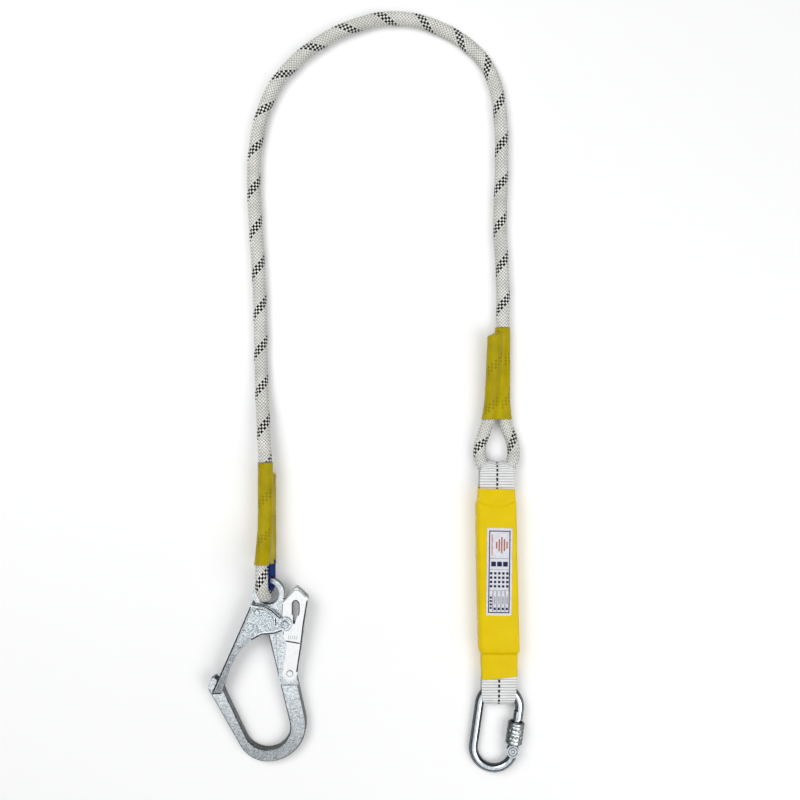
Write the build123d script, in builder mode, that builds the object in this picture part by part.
from build123d import *
import os
from math import cos, pi, radians, sin, tan

# Shock absorbing lanyard: a braided rope with a scaffold hook at one end, and a tear-webbing
# energy absorber with an oval screw-lock karabiner at the other.
# Millimetres. It lies flat on z = 0, +Z up, +Y from the connectors towards the rope's bend.
# The origin is at the bottom centre of everything but the free rope.

# Rope
rope_diameter = 16.0
tight_rope_diameter = 15.0  # the doubled rope is pulled tight in its sleeve
strand_spacing = 15.4  # centre to centre of the doubled rope
sleeve_wall = 0.8
sleeve_gap = 0.15
stitch_thickness = 0.9

# Rope eye at the hook: its plane holds +Y and leans steeply down to the right
hook_eye_centre = (-117.4, -32.3, 24.5)
hook_eye_lean = 70.0
hook_eye_radius = 17.0  # of the rope's centreline round the hook's rim
thimble_wall = 1.3
thimble_width = 6.5

# Rope eye at the absorber, flat on the ground
absorber_eye_x = 153.8
absorber_eye_y = 90.9  # the rope's centreline at the bottom of the eye
absorber_eye_z = 11.2
absorber_eye_radius = 19.9

# Webbing and absorber
webbing_thickness = 2.0
webbing_width = 40.5
fold_width = 9.0  # the webbing is bunched where it turns round a rod or rope
cover_wall = 0.8
cover_corner = 1.5
layer_pitch = 3.1
layer_count = 7

# Karabiner, in its own plane: u across, v along
rod_radius = 5.35
karabiner_half_width = 23.65  # to the rod's centreline
karabiner_half_straight = 25.0
gate_offset = 22.4
gate_pin_v = -24.0
gate_rod_radius = 5.35
gate_tip_radius = 4.7
claw_bottom_v = 13.0
screw_sleeve_radius = 10.0
screw_sleeve_bottom_v = -16.0
screw_sleeve_top_v = 10.5

# Scaffold hook, in its own plane: u across, v from the bowl to the eye, w out of the plane
hook_tilt = 4.86  # degrees; the eye is raised by the rope under it
hook_half_thickness = 6.0
head_half_thickness = 4.0
eye_hole_centre = (0.8, 200.0)
eye_hole_radius = 13.0
eye_outer_radius = 18.5
bowl_centre = (-2.1, 40.7)
bowl_radius = 27.2
gate_pivot = (20.2, 164.6)
gate_stop = (-12.0, 179.1)
lever_pivot = (25.3, 105.4)
gate_inner = 6.4
gate_outer = 8.4
lever_inner = 4.3
lever_outer = 6.1
lever_low_outer = 5.5
gate_rivet_radius = 3.0
lever_rivet_radius = 2.5
running_clearance = 0.08

os.makedirs("parts", exist_ok=True)


def frame_at(path, place):
    """The plane across a path at one end."""
    return Plane(origin=path @ place, z_dir=path % place)


def corner_radii(points):
    """0.45 of the shorter run beside each corner, over the tangent of half its turn."""
    runs = [Vector(*end) - Vector(*start) for start, end in zip(points, points[1:])]
    pairs = zip(runs, runs[1:])
    return [0.45 * min(a.length, b.length) / tan(radians(a.get_angle(b)) / 2) for a, b in pairs]


# Rope eye at the hook ------------------------------------------------------------------------
lean = radians(hook_eye_lean)
hook_eye_plane = Plane(
    origin=hook_eye_centre,
    x_dir=(cos(lean), 0, -sin(lean)),
    z_dir=(sin(lean), 0, cos(lean)),
)
tail_s = 16.2  # the cut tail runs straight on under the sleeve
strand_s = tail_s - strand_spacing  # the strand that goes on as the free rope
sleeve_mouth_t = 136.6
tail_end_t = 120.0
hook_mouth = tuple(hook_eye_plane.from_local_coords((strand_s, sleeve_mouth_t, 0)))

with BuildPart() as hook_end_eye:
    with BuildLine(hook_eye_plane) as hook_eye_path:
        FilletPolyline(
            (strand_s, sleeve_mouth_t),
            (strand_s, 64),
            (-16.8, 14),
            (-hook_eye_radius, -hook_eye_radius),
            (hook_eye_radius - 0.4, -hook_eye_radius),
            (tail_s, tail_end_t),
            radius=[60, 40, 16.6, 16.6],
        )
    with BuildSketch(frame_at(hook_eye_path.line, 0)):
        Circle(tight_rope_diameter / 2)
    sweep()

with BuildPart() as thimble:
    thimble_outer = hook_eye_radius - tight_rope_diameter / 2 - 0.2
    with BuildSketch(hook_eye_plane.offset(-thimble_width / 2)):
        Circle(thimble_outer)
        with Locations((0, 7)):
            Rectangle(2 * thimble_outer, 14)
        Circle(thimble_outer - thimble_wall, mode=Mode.SUBTRACT)
        with Locations((0, 10)):
            Rectangle(2 * (thimble_outer - thimble_wall), 20, mode=Mode.SUBTRACT)
    extrude(amount=thimble_width)

# Station along the sleeve, middle of the two strands, distance between them
hook_sleeve_stations = (
    (17.3, 0.5, 31.8),
    (40, 4.3, 23.8),
    (66, 8.5, strand_spacing),
    (121, 8.5, strand_spacing),
    (128, 1.2, 0.8),
    (sleeve_mouth_t, 1.2, 0.8),
)
with BuildPart() as hook_end_sleeve:
    for growth, mode in ((sleeve_gap + sleeve_wall, Mode.ADD), (sleeve_gap, Mode.SUBTRACT)):
        for along, middle, separation in hook_sleeve_stations:
            centre = hook_eye_plane.from_local_coords((middle, along, 0))
            with BuildSketch(Plane(origin=centre, x_dir=hook_eye_plane.x_dir, z_dir=(0, 1, 0))):
                SlotCenterToCenter(separation, tight_rope_diameter + 2 * growth)
        loft(ruled=True, mode=mode)

with BuildPart() as hook_end_stitching:
    middle_s = (strand_s + tail_s) / 2
    with BuildSketch(hook_eye_plane.offset(-stitch_thickness / 2)):
        with Locations((middle_s, 93)):
            with GridLocations(0, 7, 1, 7):
                Rectangle(strand_spacing + 12, stitch_thickness)
    extrude(amount=stitch_thickness)

# Rope eye at the absorber -----------------------------------------------------------------------
absorber_mouth = (161.4, 262.0, 9.3)
eye_left = absorber_eye_x - absorber_eye_radius
eye_right = absorber_eye_x + absorber_eye_radius
eye_z = absorber_eye_z
with BuildPart() as absorber_end_eye:
    with BuildLine() as absorber_eye_path:
        FilletPolyline(
            absorber_mouth,
            (161.4, 151, 9.3),
            (eye_right + 0.2, 119, eye_z),
            (eye_right, absorber_eye_y, eye_z),
            (eye_left, absorber_eye_y, eye_z),
            (eye_left - 0.2, 119, eye_z),
            (148.0, 153, 17.0),
            (148.0, 250, 17.0),
            radius=[55, 30, 19.7, 19.7, 26, 45],
        )
    with BuildSketch(frame_at(absorber_eye_path.line, 0)):
        Circle(tight_rope_diameter / 2)
    sweep()

# Height along y, middle of the two strands in x and z, distance between them
absorber_sleeve_stations = (
    (155, 154.7, 13.15, 15.8),
    (252, 154.7, 13.15, 15.5),
    (257, 161.0, 9.6, 0.8),
    (262, 161.0, 9.6, 0.8),
)
strand_direction = Vector(-13.4, 0, 7.7).normalized()
with BuildPart() as absorber_end_sleeve:
    for growth, mode in ((sleeve_gap + sleeve_wall, Mode.ADD), (sleeve_gap, Mode.SUBTRACT)):
        for along, middle_x, middle_z, separation in absorber_sleeve_stations:
            centre = (middle_x, along, middle_z)
            with BuildSketch(Plane(origin=centre, x_dir=strand_direction, z_dir=(0, 1, 0))):
                SlotCenterToCenter(separation, tight_rope_diameter + 2 * growth)
        loft(ruled=True, mode=mode)

with BuildPart() as absorber_end_stitching:
    stitch_plane = Plane(
        origin=(154.7, 205, 13.15),
        x_dir=strand_direction,
        z_dir=strand_direction.cross(Vector(0, 1, 0)),
    )
    with BuildSketch(stitch_plane.offset(-stitch_thickness / 2)):
        with GridLocations(0, 7, 1, 7):
            Rectangle(strand_spacing + 12, stitch_thickness)
    extrude(amount=stitch_thickness)

# Free rope, from sleeve to sleeve ---------------------------------------------------------------
rope_route = [
    hook_mouth,
    (-119.5, 150, 21.5),
    (-124, 204, 8),
    (-124.6, 268, 8),
    (-127, 333, 8),
    (-131.5, 394, 8),
    (-133.5, 452, 8),
    (-127, 505, 8),
    (-107, 554, 8),
    (-67, 593, 8),
    (-21, 618, 8),
    (24, 629.5, 8),
    (65, 625, 8),
    (101, 610, 8),
    (129, 590, 8),
    (149, 563, 8),
    (157.5, 527, 8),
    (160.5, 484, 8),
    (159.6, 434, 8),
    (157.3, 384, 8),
    (161, 332, 8.3),
    (161.8, 296, 9.1),
    absorber_mouth,
]
rope_radii = corner_radii(rope_route)
with BuildPart() as rope:
    with BuildLine() as rope_path:
        FilletPolyline(*rope_route, radius=rope_radii)
    with BuildSketch(frame_at(rope_path.line, 0)):
        Circle(rope_diameter / 2)
    sweep()

# Energy absorber ----------------------------------------------------------------------------------
# Outer sections of the cover: y, middle x, width, height
cover_sections = (
    (73, 153.2, 43.0, 26.0),
    (61, 153.4, 43.0, 26.4),
    (56, 152.8, 47.6, 28.0),
    (-119, 155.8, 47.6, 28.0),
    (-125, 156.2, 43.4, 23.0),
    (-151, 156.7, 43.0, 21.0),
)
with BuildPart() as absorber_cover:
    for inset, mode in ((0, Mode.ADD), (cover_wall, Mode.SUBTRACT)):
        for along, middle_x, width, height in cover_sections:
            section_centre = (middle_x, along, height / 2)
            with BuildSketch(Plane(origin=section_centre, x_dir=(1, 0, 0), z_dir=(0, 1, 0))):
                if inset:
                    Rectangle(width - 2 * inset, height - 2 * inset)
                else:
                    RectangleRounded(width, height, cover_corner)
        loft(ruled=True, mode=mode)

with BuildPart() as label:
    with BuildSketch(Plane.XY.offset(28.05)):
        with Locations(Location((155.3, -22.5), -0.8)):
            RectangleRounded(29.5, 101.5, 1)
    extrude(amount=0.4)

pack_x = 154.33  # at y = 0
pack_turn = radians(0.88)
pack_across = Vector(cos(pack_turn), sin(pack_turn), 0)
pack_along = Vector(-sin(pack_turn), cos(pack_turn), 0)
pack_edge = Vector(pack_x, 0, 0) - pack_across * (webbing_width / 2)
layer_bottom_z = 3.2
layer_top_y = 50.0
layer_bottom_y = -113.0
fold_radius = layer_pitch / 2
with BuildPart() as tear_webbing:
    with BuildSketch(Plane(origin=pack_edge, x_dir=pack_along, z_dir=pack_across)):
        for layer in range(layer_count):
            low_y = -138.0 if layer == 0 else layer_bottom_y
            high_y = 70.0 if layer == layer_count - 1 else layer_top_y
            middle_z = layer_bottom_z + layer * layer_pitch + webbing_thickness / 2
            with Locations(((low_y + high_y) / 2, middle_z)):
                Rectangle(high_y - low_y, webbing_thickness)
        for fold in range(layer_count - 1):
            fold_z = layer_bottom_z + fold * layer_pitch + webbing_thickness / 2 + fold_radius
            at_top = fold % 2 == 0
            side = 1 if at_top else -1
            fold_y = layer_top_y if at_top else layer_bottom_y
            with BuildLine():
                CenterArc((fold_y, fold_z), fold_radius + webbing_thickness / 2, -90 * side, 180)
                CenterArc((fold_y, fold_z), fold_radius - webbing_thickness / 2, -90 * side, 180)
                for up in (-1, 1):
                    inner = fold_z + up * (fold_radius - webbing_thickness / 2)
                    outer = fold_z + up * (fold_radius + webbing_thickness / 2)
                    Line((fold_y, inner), (fold_y, outer))
            make_face()
    extrude(amount=webbing_width)


def web_loop(fold_y, fold_x, fold_z, inner_height, narrow_y, wide_y, end_y, end_x, side):
    """Webbing folded round a rod or rope, bunched there, with its two legs ending in the pack."""
    half = inner_height / 2
    outer = half + webbing_thickness
    across = fold_width / 2
    wide = webbing_width / 2
    with BuildPart() as loop:
        with BuildSketch(Plane(origin=(end_x - wide, 0, 0), x_dir=(0, 1, 0), z_dir=(1, 0, 0))):
            with Locations(((fold_y + end_y) / 2, fold_z)):
                Rectangle(abs(fold_y - end_y), 2 * outer)
            with Locations((fold_y, fold_z)):
                Circle(outer)
            with Locations(((fold_y + end_y) / 2, fold_z)):
                Rectangle(abs(fold_y - end_y), inner_height, mode=Mode.SUBTRACT)
            with Locations((fold_y, fold_z)):
                Circle(half, mode=Mode.SUBTRACT)
        extrude(amount=webbing_width + abs(fold_x - end_x))
        with BuildSketch(Plane.XY):
            Polygon(
                (fold_x - across, fold_y + side * 2 * outer),
                (fold_x + across, fold_y + side * 2 * outer),
                (fold_x + across, narrow_y),
                (end_x + wide, wide_y),
                (end_x + wide, end_y - side),
                (end_x - wide, end_y - side),
                (end_x - wide, wide_y),
                (fold_x - across, narrow_y),
                align=None,
            )
        extrude(amount=40, mode=Mode.INTERSECT)
    return loop


rope_end_web_loop = web_loop(95.5, 153.8, absorber_eye_z, 16.6, 82, 74, 58, 153.4, 1)
karabiner_end_web_loop = web_loop(-161.4, 160.3, 9.9, 13.8, -155.5, -150, -127, 156.5, -1)

with BuildPart() as pack_stitching:
    with BuildSketch(Plane.XY.offset(absorber_eye_z + 9.1)):
        with Locations((153.4, 65)):
            with GridLocations(5, 4, 7, 3):
                Rectangle(stitch_thickness, 3)
    extrude(amount=4.2)
    with BuildSketch(Plane.XY.offset(1.2)):
        with Locations((156.5, -133)):
            with GridLocations(5, 4, 7, 3):
                Rectangle(stitch_thickness, 3)
    extrude(amount=4.0)

# Karabiner ----------------------------------------------------------------------------------------
karabiner_centre = (153.8, -208.9, 8.6)
karabiner_turn = 8.0  # degrees; its top leans right
karabiner_roll = 5.2  # degrees; the screw sleeve holds the gate's side up
karabiner_rise = 1.2  # degrees; the webbing under its top holds that end up
karabiner_plane = Plane(
    Location(karabiner_centre, (0, 0, -karabiner_turn))
    * Location((0, 0, 0), (karabiner_rise, -karabiner_roll, 0))
)
straight = karabiner_half_straight
half_width = karabiner_half_width
ear_radius = 7.2
tongue_radius = 5.2

with BuildPart() as karabiner_body:
    with BuildLine(karabiner_plane) as karabiner_path:
        Line((half_width, claw_bottom_v), (half_width, straight))
        CenterArc((0, straight), half_width, 0, 180)
        Line((-half_width, straight), (-half_width, -straight))
        CenterArc((0, -straight), half_width, 180, 180)
    with BuildSketch(frame_at(karabiner_path.line, 0)):
        Circle(rod_radius)
    sweep()
    with BuildSketch(karabiner_plane.offset(-6)):
        with Locations((gate_offset + 0.6, gate_pin_v)):
            Circle(ear_radius)
    extrude(amount=12)
    with BuildSketch(karabiner_plane.offset(-3.2)):
        with Locations((gate_offset, gate_pin_v)):
            Circle(tongue_radius + 1.2)
        with Locations((gate_offset - 2, gate_pin_v + 6)):
            Rectangle(16, 12)
    extrude(amount=6.4, mode=Mode.SUBTRACT)
    with BuildSketch(karabiner_plane.offset(-7)):
        with Locations((gate_offset - 5, (claw_bottom_v + straight) / 2 - 1)):
            Rectangle(10, straight - claw_bottom_v + 2)
    extrude(amount=14, mode=Mode.SUBTRACT)
    claw_plane = Plane(
        origin=karabiner_plane.from_local_coords((gate_offset, claw_bottom_v - 2, 0)),
        x_dir=karabiner_plane.x_dir,
        z_dir=karabiner_plane.y_dir,
    )
    with BuildSketch(claw_plane):
        Circle(gate_tip_radius + 0.35)
    extrude(amount=straight - claw_bottom_v + 2, mode=Mode.SUBTRACT)
    with BuildSketch(karabiner_plane.offset(-8)):
        with Locations((gate_offset, gate_pin_v)):
            Circle(1.5)
    extrude(amount=16, mode=Mode.SUBTRACT)

gate_plane = Plane(
    origin=karabiner_plane.from_local_coords((gate_offset, gate_pin_v, 0)),
    x_dir=karabiner_plane.x_dir,
    z_dir=karabiner_plane.y_dir,
)
rod_start = 8.0  # from the hinge pin
tip_start = claw_bottom_v - gate_pin_v - 1.5
tip_end = straight - gate_pin_v - 1.0
bore_offset = -3.2
with BuildPart() as karabiner_gate:
    with BuildSketch(gate_plane.offset(rod_start)):
        Circle(gate_rod_radius)
    extrude(amount=tip_start - rod_start)
    with BuildSketch(gate_plane.offset(tip_start)):
        Circle(gate_tip_radius)
    extrude(amount=tip_end - tip_start)
    chamfer(karabiner_gate.faces().sort_by(Axis(gate_plane.origin, gate_plane.z_dir))[-1].edges(), 0.8)
    with BuildSketch(karabiner_plane.offset(-3)):
        with Locations((gate_offset, gate_pin_v)):
            Circle(tongue_radius)
        with Locations((gate_offset, gate_pin_v + rod_start / 2 + 0.5)):
            Rectangle(2 * tongue_radius - 1.2, rod_start + 1)
    extrude(amount=6)
    with BuildSketch(karabiner_plane.offset(-8)):
        with Locations((gate_offset, gate_pin_v)):
            Circle(1.5 + running_clearance)
    extrude(amount=16, mode=Mode.SUBTRACT)
    with BuildSketch(gate_plane.offset(-8)):
        with Locations((bore_offset, 0)):
            Circle(1.5)
    extrude(amount=24, mode=Mode.SUBTRACT)

with BuildPart() as karabiner_gate_pin:
    with BuildSketch(karabiner_plane.offset(-6.3)):
        with Locations((gate_offset, gate_pin_v)):
            Circle(1.5)
    extrude(amount=12.6)

with BuildPart() as karabiner_plunger:
    with BuildSketch(gate_plane.offset(-4.6)):
        with Locations((bore_offset, 0)):
            Circle(1.35)
    extrude(amount=8.4)
    fillet(karabiner_plunger.faces().sort_by(Axis(gate_plane.origin, gate_plane.z_dir))[0].edges(), 0.8)

with BuildPart() as karabiner_gate_spring:
    spring_origin = karabiner_plane.from_local_coords((gate_offset + bore_offset, gate_pin_v + 4.2, 0))
    with BuildLine() as spring_path:
        Helix(pitch=1.3, height=10.4, radius=1.1, center=spring_origin, direction=gate_plane.z_dir)
    with BuildSketch(frame_at(spring_path.line, 0)):
        Circle(0.22)
    sweep(is_frenet=True)

with BuildPart() as karabiner_sleeve:
    sleeve_length = screw_sleeve_top_v - screw_sleeve_bottom_v
    with BuildSketch(gate_plane.offset(screw_sleeve_bottom_v - gate_pin_v)):
        Circle(screw_sleeve_radius)
        Circle(gate_rod_radius + 0.3, mode=Mode.SUBTRACT)
    extrude(amount=sleeve_length)
    with BuildSketch(gate_plane.offset(screw_sleeve_top_v - gate_pin_v - 12)):
        Circle(7.1)
    extrude(amount=12, mode=Mode.SUBTRACT)
    rims = karabiner_sleeve.edges().filter_by(GeomType.CIRCLE).group_by(SortBy.RADIUS)[-1]
    chamfer(rims, 1.2)
    for groove in (7.5, 18.5):
        with BuildSketch(gate_plane.offset(screw_sleeve_bottom_v - gate_pin_v + groove)):
            Circle(screw_sleeve_radius + 1)
            Circle(screw_sleeve_radius - 0.6, mode=Mode.SUBTRACT)
        extrude(amount=1.0, mode=Mode.SUBTRACT)

# Scaffold hook ------------------------------------------------------------------------------------
tilt = radians(hook_tilt)
hook_plane = Plane(origin=(-114, -247, 6.4), x_dir=(1, 0, 0), z_dir=(0, -sin(tilt), cos(tilt)))

with BuildPart() as hook_body:
    with BuildSketch(hook_plane.offset(-hook_half_thickness)):
        with BuildLine():
            Line((-62, 101.5), (-67.5, 97.5))
            Line((-67.5, 97.5), (-70.3, 90.5))
            Line((-70.3, 90.5), (-70, 85))
            Line((-70, 85), (-66.5, 79))
            Line((-66.5, 79), (-33.9, 18))
            ThreePointArc((-33.9, 18), (-21.1, 4.1), (-1.9, -1.5))
            ThreePointArc((-1.9, -1.5), (33.6, 15.4), (42.95, 53.59))
            Line((42.95, 53.59), (32.7, 103))
            Line((32.7, 103), (30, 120))
            Line((30, 120), (30, 160))
            Line((30, 160), (18.2, 193.7))
            ThreePointArc((18.2, 193.7), (0.8, 218.5), (-17, 195))
            Line((-17, 195), (-13.5, 187.5))
            Line((-13.5, 187.5), (-5, 179))
            Line((-5, 179), (1.2, 149.6))
            Line((1.2, 149.6), (24.43, 46.68))
            ThreePointArc((24.43, 46.68), (-2.1, 13.5), (-26.9, 29.5))
            Line((-26.9, 29.5), (-49.7, 79.9))
            Line((-49.7, 79.9), (-54.5, 91.5))
            Line((-54.5, 91.5), (-62, 101.5))
        make_face()
    extrude(amount=2 * hook_half_thickness)
    face_edges = hook_body.faces().filter_by(Axis((0, 0, 0), hook_plane.z_dir)).edges()
    chamfer(face_edges.filter_by(lambda edge: edge.length > 9), 1.5)
    for near in (head_half_thickness, -hook_half_thickness - 1):
        with BuildSketch(hook_plane.offset(near)):
            Polygon(
                (13, 91), (9, 150), (6, 185), (-30, 185), (-30, 225), (60, 225), (60, 91), align=None
            )
        extrude(amount=hook_half_thickness + 1 - head_half_thickness, mode=Mode.SUBTRACT)
    with BuildSketch(hook_plane.offset(-10)):
        with Locations(eye_hole_centre):
            Circle(eye_hole_radius)
        with Locations(gate_pivot):
            Circle(gate_rivet_radius)
        with Locations(lever_pivot):
            Circle(lever_rivet_radius)
    extrude(amount=20, mode=Mode.SUBTRACT)
    with BuildSketch(hook_plane.offset(-1.8)):
        with Locations((gate_pivot[0] + 3, gate_pivot[1])):
            Rectangle(18, 13)
    extrude(amount=3.6, mode=Mode.SUBTRACT)

with BuildPart() as hook_gate:
    with BuildSketch(hook_plane.offset(-gate_outer)):
        with BuildLine():
            Line((-18.2, 189.3), (-3, 187))
            Spline((-3, 187), (6, 182), (16, 172))
            ThreePointArc((16, 172), (28.7, 164.6), (16.5, 156.9))
            Spline(
                (16.5, 156.9), (8, 153.2), (-6.9, 152.1), (-18.8, 146.1), (-33.2, 131.6),
                (-45.2, 110), (-54.5, 81.5)
            )
            Line((-54.5, 81.5), (-66.5, 81))
            Line((-66.5, 81), (-18.2, 189.3))
        make_face()
    extrude(amount=2 * gate_outer)
    with BuildSketch(hook_plane.offset(-gate_inner)):
        Polygon(
            (-13.6, 194.5), (-55.2, 101.1), (-60, 103), (-75, 103), (-75, 70), (50, 70),
            (50, 194.5), align=None
        )
    extrude(amount=2 * gate_inner, mode=Mode.SUBTRACT)
    with BuildSketch(hook_plane.offset(-10)):
        with Locations(gate_pivot):
            Circle(gate_rivet_radius + running_clearance)
        with Locations(gate_stop):
            Circle(2.5)
    extrude(amount=20, mode=Mode.SUBTRACT)
    for face_w in (gate_outer - 0.4, -gate_outer):
        with BuildSketch(hook_plane.offset(face_w)):
            with BuildLine():
                FilletPolyline((-8, 180), (11, 167.5), (9.5, 160), radius=3)
            trace(line_width=1.2)
        extrude(amount=0.4, mode=Mode.SUBTRACT)


def rivet(centre, radius, grip, head_radius, head_height):
    """A rivet through the hook's plane with a domed head each side."""
    with BuildPart() as fastener:
        with BuildSketch(hook_plane.offset(-grip)):
            with Locations(centre):
                Circle(radius)
        extrude(amount=2 * grip)
        for start in (grip, -grip - head_height):
            with BuildSketch(hook_plane.offset(start)):
                with Locations(centre):
                    Circle(head_radius)
            extrude(amount=head_height)
        ends = fastener.faces().sort_by(Axis((0, 0, 0), hook_plane.z_dir))
        chamfer([ends[0].edges(), ends[-1].edges()], head_height * 0.6)
    return fastener


hook_gate_rivet = rivet(gate_pivot, gate_rivet_radius, gate_outer + 0.15, 4.6, 1.2)
hook_gate_stop_rivet = rivet(gate_stop, 2.5 - 0.02, gate_outer, 3.6, 1.0)
lock_lever_rivet = rivet(lever_pivot, lever_rivet_radius, lever_low_outer + 0.15, 3.9, 1.1)

with BuildPart() as hook_gate_spring:
    coil_origin = hook_plane.from_local_coords((gate_pivot[0], gate_pivot[1], -1.05))
    with BuildLine() as coil_path:
        Helix(pitch=1.05, height=2.1, radius=4.4, center=coil_origin, direction=hook_plane.z_dir)
    with BuildSketch(frame_at(coil_path.line, 0)):
        Circle(0.45)
    sweep(is_frenet=True)

with BuildPart() as lock_lever:
    with BuildSketch(hook_plane.offset(-lever_outer)):
        with BuildLine():
            Line((31.5, 206), (16.9, 190))
            Line((16.9, 190), (16.1, 176))
            Line((16.1, 176), (17.8, 151.4))
            Line((17.8, 151.4), (21.6, 141.2))
            Line((21.6, 141.2), (21.8, 137))
            Line((21.8, 137), (16.9, 107.3))
            ThreePointArc((16.9, 107.3), (25.3, 96.9), (33.8, 106))
            Line((33.8, 106), (38.8, 138.4))
            Line((38.8, 138.4), (42.3, 166.5))
            Line((42.3, 166.5), (47, 193.2))
            ThreePointArc((47, 193.2), (46.5, 196), (45, 197.5))
            Line((45, 197.5), (36.8, 206))
            ThreePointArc((36.8, 206), (34.2, 207.2), (31.5, 206))
        make_face()
    extrude(amount=2 * lever_outer)
    with BuildSketch(hook_plane.offset(-lever_inner)):
        Polygon(
            (10, 90), (45, 90), (45, 118), (33.8, 118), (36.8, 138.5), (40.3, 166.7), (45, 194),
            (55, 194), (55, 212), (10, 212), align=None
        )
    extrude(amount=2 * lever_inner, mode=Mode.SUBTRACT)
    for low_w in (lever_low_outer, -lever_outer):
        with BuildSketch(hook_plane.offset(low_w)):
            with Locations((28, 114)):
                Rectangle(40, 50)
        extrude(amount=lever_outer - lever_low_outer, mode=Mode.SUBTRACT)
    with BuildSketch(hook_plane.offset(-10)):
        with Locations((gate_pivot[0] + 2.1, gate_pivot[1] + 0.2)):
            SlotCenterToCenter(4.6, 2 * gate_rivet_radius + 0.9)
        with Locations(lever_pivot):
            Circle(lever_rivet_radius + running_clearance)
        with BuildLine():
            Line((29.4, 165), (29.4, 189))
            ThreePointArc((29.4, 189), (32.8, 192.4), (36.2, 189))
            Line((36.2, 189), (36.2, 179))
            Line((36.2, 179), (31.6, 164.6))
            Line((31.6, 164.6), (29.4, 165))
        make_face()
    extrude(amount=20, mode=Mode.SUBTRACT)

with BuildPart() as lock_lever_spring:
    push_origin = hook_plane.from_local_coords((30.5, 150, 0))
    with BuildLine() as push_path:
        Helix(pitch=1.6, height=6.5, radius=2.6, center=push_origin, direction=hook_plane.x_dir)
    with BuildSketch(frame_at(push_path.line, 0)):
        Circle(0.35)
    sweep(is_frenet=True)

# One STEP per sub-part ------------------------------------------------------------------------
sub_parts = {
    "rope": rope,
    "hook_end_eye": hook_end_eye,
    "absorber_end_eye": absorber_end_eye,
    "hook_end_sleeve": hook_end_sleeve,
    "absorber_end_sleeve": absorber_end_sleeve,
    "hook_end_stitching": hook_end_stitching,
    "absorber_end_stitching": absorber_end_stitching,
    "thimble": thimble,
    "absorber_cover": absorber_cover,
    "label": label,
    "tear_webbing": tear_webbing,
    "rope_end_web_loop": rope_end_web_loop,
    "karabiner_end_web_loop": karabiner_end_web_loop,
    "pack_stitching": pack_stitching,
    "karabiner_body": karabiner_body,
    "karabiner_gate": karabiner_gate,
    "karabiner_gate_pin": karabiner_gate_pin,
    "karabiner_plunger": karabiner_plunger,
    "karabiner_gate_spring": karabiner_gate_spring,
    "karabiner_sleeve": karabiner_sleeve,
    "hook_body": hook_body,
    "hook_gate": hook_gate,
    "hook_gate_rivet": hook_gate_rivet,
    "hook_gate_stop_rivet": hook_gate_stop_rivet,
    "hook_gate_spring": hook_gate_spring,
    "lock_lever": lock_lever,
    "lock_lever_rivet": lock_lever_rivet,
    "lock_lever_spring": lock_lever_spring,
}
for name, sub_part in sub_parts.items():
    sub_part.part.label = name
    export_step(sub_part.part, f"parts/{name}.step")

print("rope bend radii:", ", ".join(f"{radius:.0f}" for radius in rope_radii))
rope_length = sum(edge.length for edge in rope_path.edges())
print(f"rope centreline {rope_length:.0f} mm")
print(f"rope volume {rope.part.volume:.0f} mm3")
print(f"section times length {rope_length * pi * rope_diameter**2 / 4:.0f} mm3")
